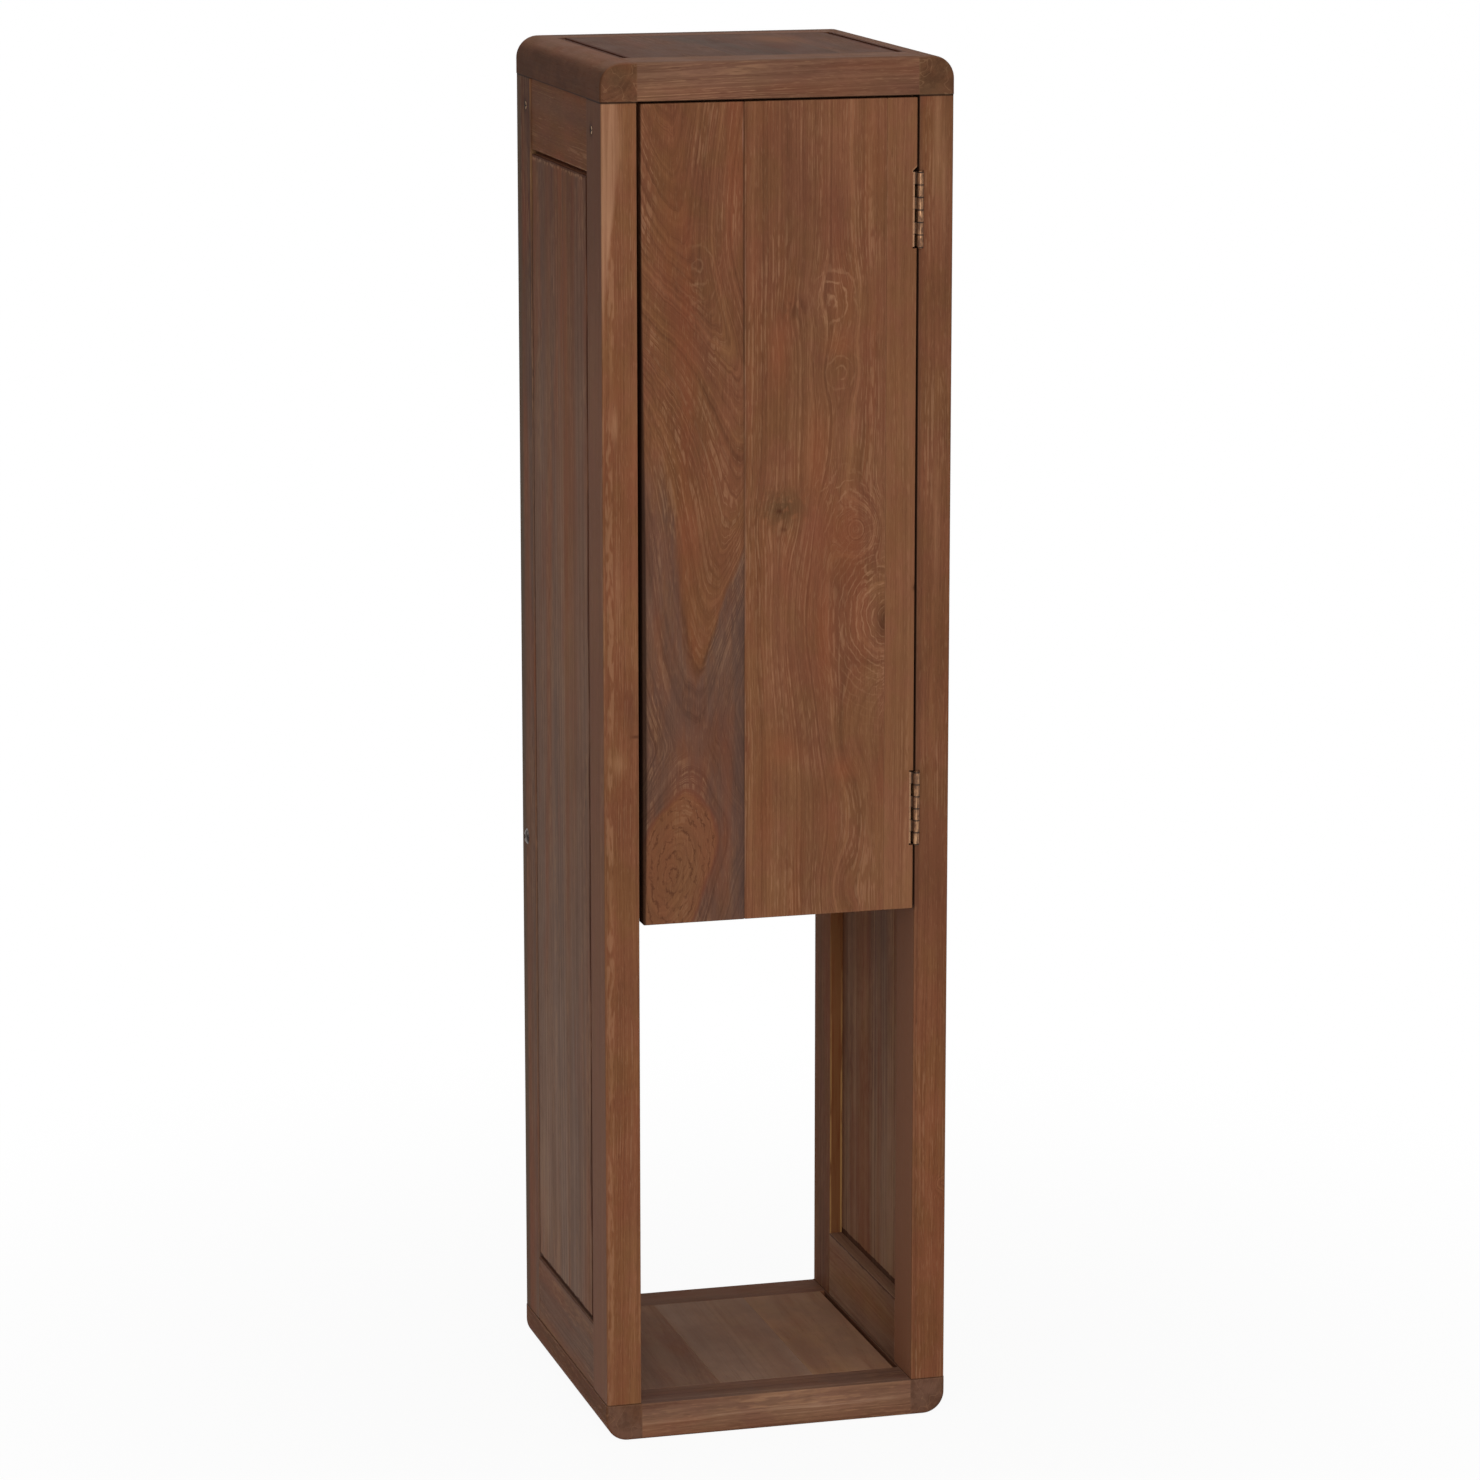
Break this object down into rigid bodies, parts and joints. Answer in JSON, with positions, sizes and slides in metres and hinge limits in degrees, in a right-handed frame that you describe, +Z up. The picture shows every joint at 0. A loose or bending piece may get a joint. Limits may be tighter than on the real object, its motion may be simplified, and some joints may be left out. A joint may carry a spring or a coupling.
{
  "type": "bathroom cabinet",
  "caption": "Tall square wooden column cabinet with one hinged door above an open bay, rounded top and bottom slabs and framed side panels.",
  "frame": {"origin": "middle of the underside, on the surface the cabinet stands on", "axes": "+Z up, -Y is the front with the door, +X is to the right seen from the front"},
  "size_m": [0.3542, 0.3559, 1.36],
  "materials": {
    "wood_frame": "brushed and waxed brown stain, satin",
    "wood_slab": "brushed and waxed brown stain, satin",
    "wood_panel": "brown stain with grey streaks, satin",
    "wood_door": "brown stain with cathedral grain, satin",
    "wood_inner": "brown stain, matt",
    "dowel_wood": "bare fluteless dowel rod",
    "brass": "aged satin brass",
    "bolt_steel": "dulled zinc",
    "zinc_steel": "zinc plated",
    "magnet": "bare magnet and pole plates",
    "catch_plastic": "brown moulded plastic"
  },
  "bodies": {
    "carcass": {"back_panel": "wood_inner", "bottom_back_rail": "wood_slab", "bottom_front_rail": "wood_slab", "bottom_left_rail": "wood_slab", "bottom_panel_left_board": "wood_panel", "bottom_panel_middle_board": "wood_panel", "bottom_panel_right_board": "wood_panel", "bottom_right_rail": "wood_slab", "catch_housing": "catch_plastic", "catch_magnet": "magnet", "catch_screws": "zinc_steel", "compartment_floor_back_rail": "wood_inner", "compartment_floor_front_rail": "wood_inner", "compartment_floor_left_rail": "wood_inner", "compartment_floor_panel": "wood_inner", "compartment_floor_right_rail": "wood_inner", "cross_rail_screws": "brass", "floor_bolts": "bolt_steel", "floor_dowels": "dowel_wood", "hinge_frame_screws": "brass", "inner_shelf": "wood_inner", "left_bottom_rail": "wood_frame", "left_front_stile": "wood_frame", "left_panel_front_board": "wood_panel", "left_panel_rear_board": "wood_panel", "left_rear_stile": "wood_frame", "left_top_rail": "wood_frame", "lower_hinge_frame_leaf": "brass", "lower_hinge_pin": "brass", "right_bottom_rail": "wood_frame", "right_front_stile": "wood_frame", "right_panel_front_board": "wood_panel", "right_panel_rear_board": "wood_panel", "right_rear_stile": "wood_frame", "right_top_rail": "wood_frame", "shelf_pins": "brass", "slab_dowels": "dowel_wood", "top_back_rail": "wood_slab", "top_front_rail": "wood_slab", "top_left_rail": "wood_slab", "top_panel_left_board": "wood_panel", "top_panel_middle_board": "wood_panel", "top_panel_right_board": "wood_panel", "top_right_rail": "wood_slab", "upper_back_cross_rail": "wood_inner", "upper_front_cross_rail": "wood_inner", "upper_hinge_frame_leaf": "brass", "upper_hinge_pin": "brass"},
    "door": {"batten_screws": "zinc_steel", "door_left_board": "wood_door", "door_lower_batten": "wood_inner", "door_middle_board": "wood_door", "door_right_board": "wood_door", "door_upper_batten": "wood_inner", "hinge_door_screws": "brass", "lower_hinge_door_leaf": "brass", "strike_plate": "zinc_steel", "strike_screw": "zinc_steel", "upper_hinge_door_leaf": "brass"}
  },
  "joints": [
    {"name": "door_hinge", "type": "hinge", "parent": "carcass", "child": "door", "pos_m": [0.1401, -0.1778, 0.9195], "axis": [0, 0, 1], "range_deg": [0, 175]}
  ]
}
